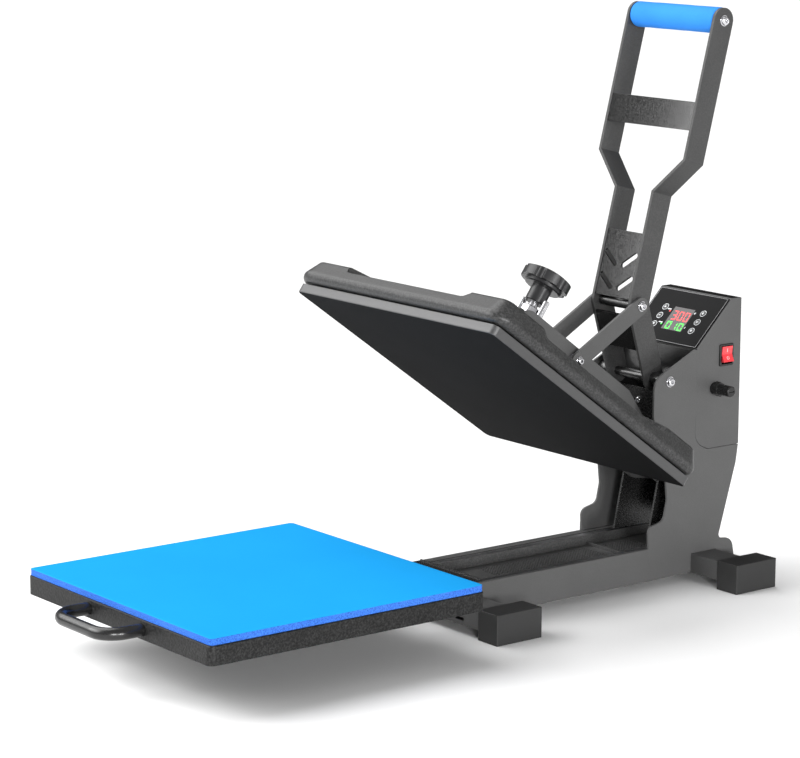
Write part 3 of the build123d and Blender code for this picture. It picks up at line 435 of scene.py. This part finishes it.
def soft_pad():
    """Sponge-rubber pad: smooth skin above and below, sawn edges, corners a little eased."""
    low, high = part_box("rubber_pad")
    low, high = Vector(low), Vector(high)
    thick = high.z - low.z
    half_x, half_y = (high.x - low.x) / 2, (high.y - low.y) / 2
    middle = (low + high) / 2
    loop = pad_outline(half_x, half_y)
    count = len(loop)
    rng = random.Random(5)
    bm = bmesh.new()

    def shrunk(shrink, z):
        return [bm.verts.new((middle.x + p.x * shrink, middle.y + p.y * shrink, z)) for p in loop]

    ease = PAD_EASE
    heights = (0.0, ease * 0.3, ease, thick * 0.35, thick * 0.65, thick - ease, thick - ease * 0.3, thick)
    insets = (ease, ease * 0.3, 0.00012, 0.00020, 0.00020, 0.00012, ease * 0.3, ease)
    rings = []
    for height, inset in zip(heights, insets):
        row = []
        for p in loop:
            wobble = rng.uniform(0, PAD_NAP) if 0.001 < height < thick - 0.001 else 0.0
            shrink = 1.0 - (inset + wobble) / half_x
            row.append(bm.verts.new((middle.x + p.x * shrink, middle.y + p.y * shrink, low.z + height)))
        rings.append(row)
    for index, (a, b) in enumerate(zip(rings, rings[1:])):
        for k in range(count):
            n = (k + 1) % count
            face = bm.faces.new((a[k], a[n], b[n], b[k]))
            # the side faces take the cut-edge material, its darker blue painted shade
            face.material_index = 1 if 1 <= index <= 5 else 0
            face.smooth = True
    for outer, underside in ((rings[0], True), (rings[-1], False)):
        z = low.z if underside else high.z - PAD_SAG
        for inset in (0.004, 0.030, 0.090, 0.160):
            inner = shrunk(1.0 - inset / half_x, z)
            for k in range(count):
                n = (k + 1) % count
                quad = (outer[k], outer[n], inner[n], inner[k])
                bm.faces.new(quad[::-1] if underside else quad).smooth = True
            outer = inner
        bm.faces.new(outer[::-1] if underside else outer).smooth = True
    pad = mesh_object("soft_pad", bm, ("rubber", "rubber_cut_and_shade"), "drawer")
    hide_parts("rubber_pad")


GRIP_Z = 0.3664               # the grip's axis above the link pivot, along the handle
GRIP_RADIUS = 0.0165
GRIP_BORE = 0.0091
GRIP_HALF = 0.0757            # half its length
GRIP_ROUND = 0.0030           # rounding of its ends
GRIP_SKIN = 0.00012           # how far the skin lies inside the full radius
GRIP_DENT = 0.00016           # depth of the small dents
GRIP_DENTS = 26
GRIP_SIDES = 72
GRIP_ROWS = 120


def circle(bm, x, radius_at):
    """Ring of vertices round the X axis; radius_at gives the radius at an angle."""
    points = []
    for k in range(GRIP_SIDES):
        a = math.tau * k / GRIP_SIDES
        points.append(bm.verts.new((x, radius_at(a) * math.cos(a), radius_at(a) * math.sin(a))))
    return points


def foam_grip():
    """Foam sleeve of the lever: skin slightly uneven with small dents, ends rounded."""
    rng = random.Random(11)
    dents = [(rng.uniform(-GRIP_HALF, GRIP_HALF), rng.uniform(0, math.tau), rng.uniform(0.006, 0.016))
             for _ in range(GRIP_DENTS)]
    bm = bmesh.new()

    def radius(x, a):
        r = GRIP_RADIUS - GRIP_SKIN
        end = GRIP_HALF - abs(x)
        if end < GRIP_ROUND:
            r -= GRIP_ROUND - math.sqrt(max(0.0, GRIP_ROUND ** 2 - (GRIP_ROUND - end) ** 2))
        for x0, a0, width in dents:
            around = (a - a0 + math.pi) % math.tau - math.pi
            far = ((x - x0) / width) ** 2 + (around * GRIP_RADIUS / width) ** 2
            r -= GRIP_DENT * math.exp(-far)
        return r

    rings = []
    for row in range(GRIP_ROWS + 1):
        x = -math.cos(math.pi * row / GRIP_ROWS) * GRIP_HALF
        rings.append(circle(bm, x, lambda a: radius(x, a)))
    for inward in (GRIP_HALF - 0.0008, -(GRIP_HALF - 0.0008)):
        rings.append(circle(bm, inward, lambda a: GRIP_BORE + 0.0006))
    rings.append(rings[0])
    for a, b in zip(rings, rings[1:]):
        for k in range(GRIP_SIDES):
            n = (k + 1) % GRIP_SIDES
            bm.faces.new((a[k], a[n], b[n], b[k])).smooth = True
    bmesh.ops.recalc_face_normals(bm, faces=bm.faces)
    bm.transform(HANDLE @ Matrix.Translation((0, 0, GRIP_Z)))
    grip = mesh_object("soft_grip", bm, "foam", "handle")
    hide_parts("foam_grip")


# ---- markings of the control panel: x across, s down the slope from its top edge, metres -------
FASCIA = 0.00116              # the fascia's outer face above the panel plane
WINDOW = 0.00102              # the display window's outer face
PRINT = 0.00004               # thickness of the printed marks
SLANT = -0.12                 # sideways lean of the digits for each unit of height
DISPLAY_X = 0.0024            # the display's middle
COLUMN_X = 0.0350             # each button column from the display's middle
COLUMNS = (DISPLAY_X - COLUMN_X, DISPLAY_X + COLUMN_X)
BUTTON_S = (0.0315, 0.0458, 0.0601)
SEGMENTS = {"0": "abcdef", "1": "bc", "3": "abcdg"}
SEGMENT = 0.0021              # width of one segment of a digit
SEGMENT_GAP = 0.00025
DIGIT_WIDTH = 0.0086
DIGIT_PITCH = 0.0110
DIGITS_LEFT = 0.0132          # left end of the digits from the display's middle


def polygon(bm, points, low, high):
    """Flat prism with the given outline, from height low to high."""
    bottom = [bm.verts.new((x, y, low)) for x, y in points]
    top = [bm.verts.new((x, y, high)) for x, y in points]
    bm.faces.new(top)
    bm.faces.new(bottom[::-1])
    for k in range(len(points)):
        n = (k + 1) % len(points)
        bm.faces.new((bottom[k], bottom[n], top[n], top[k]))


def rectangle(bm, x0, x1, y0, y1, low, high):
    polygon(bm, [(x0, y0), (x1, y0), (x1, y1), (x0, y1)], low, high)


def ring(bm, x, y, outer, inner, low, high, sides=40):
    """Flat ring with its middle at x, y."""
    for k in range(sides):
        a, b = math.tau * k / sides, math.tau * (k + 1) / sides
        points = ((inner, a), (outer, a), (outer, b), (inner, b))
        polygon(bm, [(x + r * math.cos(t), y + r * math.sin(t)) for r, t in points], low, high)


def digit(bm, char, x, y, height, low, high):
    """Seven-segment digit with its lower left corner at x, y."""
    t, g = SEGMENT, SEGMENT_GAP
    w, h, m = DIGIT_WIDTH, height, height / 2
    bars = {
        "a": [(g, h), (w - g, h), (w - g - t, h - t), (g + t, h - t)],
        "d": [(g, 0), (g + t, t), (w - g - t, t), (w - g, 0)],
        "g": [(g + t / 2, m), (g + t, m + t / 2), (w - g - t, m + t / 2), (w - g - t / 2, m),
              (w - g - t, m - t / 2), (g + t, m - t / 2)],
        "f": [(0, h - g), (t, h - g - t), (t, m + g + t / 2), (t / 2, m + g), (0, m + g)],
        "e": [(0, g), (0, m - g), (t / 2, m - g), (t, m - g - t / 2), (t, g + t)],
        "b": [(w, h - g), (w, m + g), (w - t / 2, m + g), (w - t, m + g + t / 2), (w - t, h - g - t)],
        "c": [(w, g), (w - t, g + t), (w - t, m - g - t / 2), (w - t / 2, m - g), (w, m - g)],
    }
    for key in SEGMENTS[char]:
        points = [(x + px + SLANT * py, y + py) for px, py in bars[key]]
        area = sum(a[0] * b[1] - b[0] * a[1] for a, b in zip(points, points[1:] + points[:1]))
        polygon(bm, points if area > 0 else points[::-1], low, high)


def on_panel(name, bm, material, body="base"):
    """Makes the object from a bmesh drawn on the panel's own plane."""
    bm.transform(PANEL)
    mesh_object(name, bm, material, body)


def digits(name, text, s_low, height, material):
    """A row of digits in the display, their lower edge at s_low."""
    bm = bmesh.new()
    for k, char in enumerate(text):
        x = DISPLAY_X - DIGITS_LEFT + k * DIGIT_PITCH
        digit(bm, char, x, -s_low, height, WINDOW, WINDOW + 0.00005)
    on_panel(name, bm, material)


def panel_marks():
    """Pale legends beside the display, rings round the buttons and a thin line round the fascia."""
    low, high = FASCIA - 0.00002, FASCIA + PRINT
    left, right = DISPLAY_X - 0.0258, DISPLAY_X + 0.0202
    legends = bmesh.new()
    for s in (0.0346, 0.0563):
        top = -s + 0.0016
        outline = [(left - 0.0035, -s), (left + 0.0035, -s), (left + 0.0038, top), (left - 0.0032, top)]
        polygon(legends, outline, low, high)
    for s, w in ((0.0352, 0.0020), (0.0590, 0.0012)):
        top = -s + 0.0030
        outline = [(right, -s), (right + w, -s), (right + w * 1.2, top), (right + w * 0.2, top)]
        polygon(legends, outline, low, high)
    for x in COLUMNS:
        for s in BUTTON_S:
            ring(legends, x, -s, 0.0049, 0.0041, low, high)
    on_panel("panel_legends", legends, "marks")
    border = bmesh.new()
    half, top, bottom, line = 0.0622, -0.0030, -0.0832, 0.0006
    rectangle(border, -half, half, top - line, top, low, high)
    rectangle(border, -half, half, bottom, bottom + line, low, high)
    rectangle(border, -half, -half + line, bottom, top, low, high)
    rectangle(border, half - line, half, bottom, top, low, high)
    on_panel("panel_border", border, "border")


BUTTON_TOP = 0.00179          # the buttons' faces above the panel plane
GLYPH_UNIT = 0.00015          # the unit in which the symbols are drawn
GLYPHS = (
    [[(-12, -8), (12, -8), (0, 12)]],
    [[(-12, -3), (12, -3), (12, 3), (-12, 3)]],
    [[(-12, 8), (0, -12), (12, 8)]],
    [[(-4, -12), (4, -12), (4, 12), (-4, 12)], [(-12, -4), (-4, -4), (-4, 4), (-12, 4)],
     [(4, -4), (12, -4), (12, 4), (4, 4)]],
    [[(-12, -7), (12, -7), (12, -2), (-12, -2)], [(-12, 3), (12, 3), (12, 8), (-12, 8)]],
    [[(-9, -9), (9, -9), (9, 9), (-9, 9)]],
)


def button_glyphs():
    """One plain symbol on each push button, down the left column and then the right."""
    places = [(x, s) for x in COLUMNS for s in BUTTON_S]
    for number, ((x, s), shapes) in enumerate(zip(places, GLYPHS), 1):
        bm = bmesh.new()
        for shape in shapes:
            outline = [(x + px * GLYPH_UNIT, -s + py * GLYPH_UNIT) for px, py in shape]
            polygon(bm, outline, BUTTON_TOP, BUTTON_TOP + 0.00006)
        on_panel("glyph_%d" % number, bm, "marks", "button_%d" % number)


ROCKER = Matrix.Translation((0.061, 0.4535, 0.290)) @ Matrix.Rotation(math.radians(-8.0), 4, "Y")
ROCKER_SLOPE = math.atan2(2.6, 10.0)   # slope of each half of the rocker's face
ROCKER_FACE = 0.0079          # middle of each half from the pivot, outwards
ROCKER_MARK_Z = 0.005         # and up or down


def rocker_marks():
    """A bar on the rocker's upper half and a circle on its lower half."""
    low, high = -0.00002, 0.00005
    for name, side in (("rocker_mark_bar", 1), ("rocker_mark_ring", -1)):
        across = Vector((0, 1, 0))
        up = Vector((side * math.sin(ROCKER_SLOPE), 0, math.cos(ROCKER_SLOPE)))
        face = Matrix((across, up, across.cross(up))).transposed().to_4x4()
        bm = bmesh.new()
        if side > 0:
            rectangle(bm, -0.0005, 0.0005, -0.0022, 0.0022, low, high)
        else:
            ring(bm, 0, 0, 0.0022, 0.0014, low, high)
        bm.transform(ROCKER @ Matrix.Translation((ROCKER_FACE, 0, side * ROCKER_MARK_Z)) @ face)
        mesh_object(name, bm, "rocker_ink", "rocker")


rocker_marks()
soft_pad()
foam_grip()
digits("digits_temperature", "300", 0.0492, 0.0150, "digits_red")
digits("digits_time", "010", 0.0641, 0.0124, "digits_green")
panel_marks()
button_glyphs()


# ---- studio ----------------------------------------------------------------------------------------
def floor():
    """Plain pale floor just under the feet."""
    bpy.ops.mesh.primitive_plane_add(size=80.0, location=(0, 0, -0.0004))
    plane = bpy.context.object
    plane.name = "floor"
    s = Shader("studio_floor")
    plane.data.materials.append(s.set(Base_Color=(0.90, 0.90, 0.90), Roughness=0.9, Specular_IOR_Level=0.1))


def area_light(name, place, target, size, power):
    """Softbox at a place, facing its target."""
    data = bpy.data.lights.new(name, "AREA")
    data.shape = "RECTANGLE"
    data.size, data.size_y = size
    data.energy = power
    lamp = bpy.data.objects.new(name, data)
    bpy.context.scene.collection.objects.link(lamp)
    lamp.location = place
    lamp.rotation_euler = (Vector(target) - Vector(place)).to_track_quat("-Z", "Y").to_euler()


def sun(name, azimuth, elevation, strength, spread):
    """Distant light from azimuth (0 is the front, 90 the right-hand side) and elevation, in degrees."""
    data = bpy.data.lights.new(name, "SUN")
    data.energy = strength
    data.angle = math.radians(spread)
    lamp = bpy.data.objects.new(name, data)
    bpy.context.scene.collection.objects.link(lamp)
    a, e = math.radians(azimuth), math.radians(elevation)
    toward = Vector((math.sin(a) * math.cos(e), -math.cos(a) * math.cos(e), math.sin(e)))
    lamp.rotation_euler = toward.to_track_quat("Z", "Y").to_euler()


def sky():
    """White surroundings, dim behind the machine and even elsewhere."""
    world = bpy.data.worlds.new("studio")
    bpy.context.scene.world = world
    world.use_nodes = True
    tree = world.node_tree
    background = tree.nodes["Background"]
    coords = tree.nodes.new("ShaderNodeTexCoord")
    dot = tree.nodes.new("ShaderNodeVectorMath")
    dot.operation = "DOT_PRODUCT"
    tree.links.new(coords.outputs["Generated"], dot.inputs[0])
    dot.inputs[1].default_value = (-0.60, 0.78, 0.05)
    ramp = tree.nodes.new("ShaderNodeMapRange")
    ramp.interpolation_type = "SMOOTHSTEP"
    for key, value in (("From Min", 0.35), ("From Max", 0.95), ("To Min", 0.45), ("To Max", 0.04)):
        ramp.inputs[key].default_value = value
    tree.links.new(dot.outputs["Value"], ramp.inputs["Value"])
    background.inputs["Color"].default_value = (1, 1, 1, 1)
    tree.links.new(ramp.outputs["Result"], background.inputs["Strength"])


def studio():
    sky()
    sun("overhead", 287.0, 55.0, 2.7, 60.0)
    sun("right_side", 88.0, 6.0, 1.7, 10.0)
    sun("right_front", 62.0, 8.0, 1.8, 12.0)
    area_light("left_box", (-1.02, -1.73, 1.32), (0.0, 0.1, 0.5), (1.8, 1.1), 42.0)
    bpy.context.scene.view_settings.view_transform = "Standard"


CAMERA_PLACE = (2.7087, -2.1231, 0.9601)
CAMERA_ANGLES = (52.2005, 10.8616, 0.2542)      # azimuth, elevation and roll, degrees
CAMERA_LENS = 131.45          # mm, on a 36 mm sensor


def camera():
    """Camera at the photograph's viewing angle."""
    azimuth, elevation, roll = (math.radians(a) for a in CAMERA_ANGLES)
    back = Vector((math.sin(azimuth) * math.cos(elevation), -math.cos(azimuth) * math.cos(elevation),
                   math.sin(elevation)))
    right = (-back).cross(Vector((0, 0, 1))).normalized()
    up = right.cross(-back)
    rolled_right = math.cos(roll) * right + math.sin(roll) * up
    rolled_up = -math.sin(roll) * right + math.cos(roll) * up
    data = bpy.data.cameras.new("camera")
    data.sensor_width = 36.0
    data.lens = CAMERA_LENS
    data.clip_end = 200.0
    eye = bpy.data.objects.new("camera", data)
    turn = Matrix((rolled_right, rolled_up, back)).transposed().to_4x4()
    eye.matrix_world = Matrix.Translation(CAMERA_PLACE) @ turn
    bpy.context.scene.collection.objects.link(eye)
    bpy.context.scene.camera = eye


floor()
studio()
camera()
